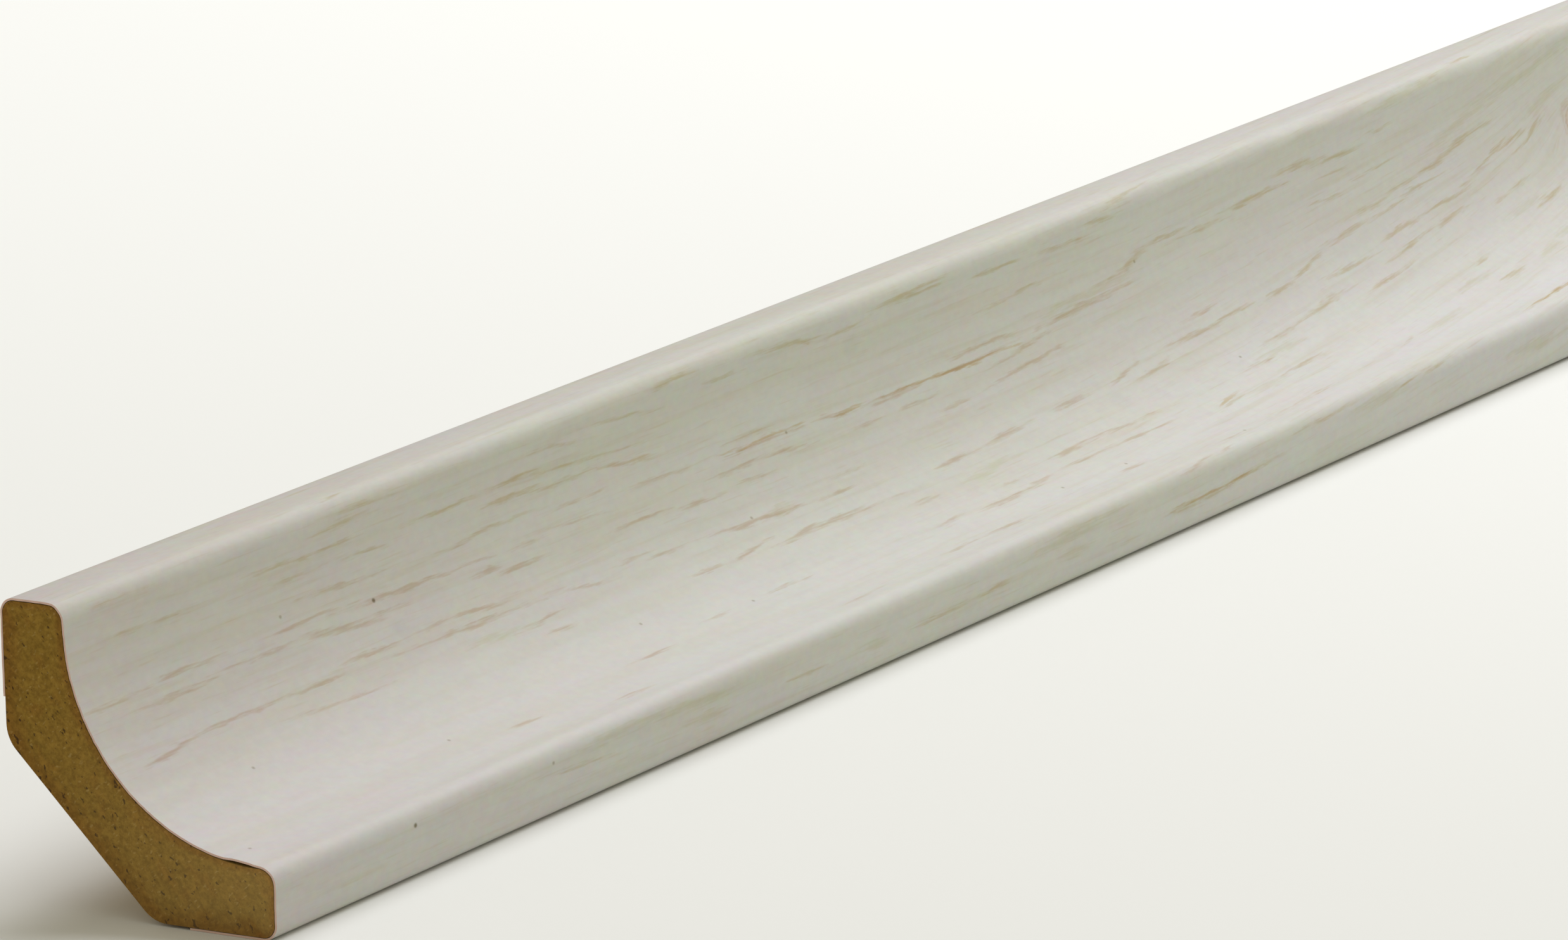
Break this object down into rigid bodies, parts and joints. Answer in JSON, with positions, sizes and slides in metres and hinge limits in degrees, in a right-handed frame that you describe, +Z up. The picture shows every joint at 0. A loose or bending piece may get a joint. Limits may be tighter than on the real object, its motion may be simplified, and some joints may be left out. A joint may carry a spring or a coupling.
{
  "type": "cove moulding",
  "caption": "Cove moulding: a hollow quarter-round face between equal legs, fibreboard wrapped in a pale whitewashed wood-grain foil, with a bare bevelled back and square-cut ends.",
  "frame": {"origin": "on the wall plane, halfway along the length, in the middle of the strip of foil that lies against the wall", "axes": "+X along the length, +Y into the wall, +Z up; the cove faces -Y and upwards"},
  "size_m": [0.25, 0.022, 0.022],
  "materials": {
    "fibreboard": "bare medium-density fibreboard, sawn across at the ends and moulded smooth along the back",
    "decor_foil": "satin printed decor foil, off-white with fine tan grain along the length"
  },
  "bodies": {
    "root": {"mdf_core": "fibreboard", "decor_foil": "decor_foil"}
  },
  "joints": []
}
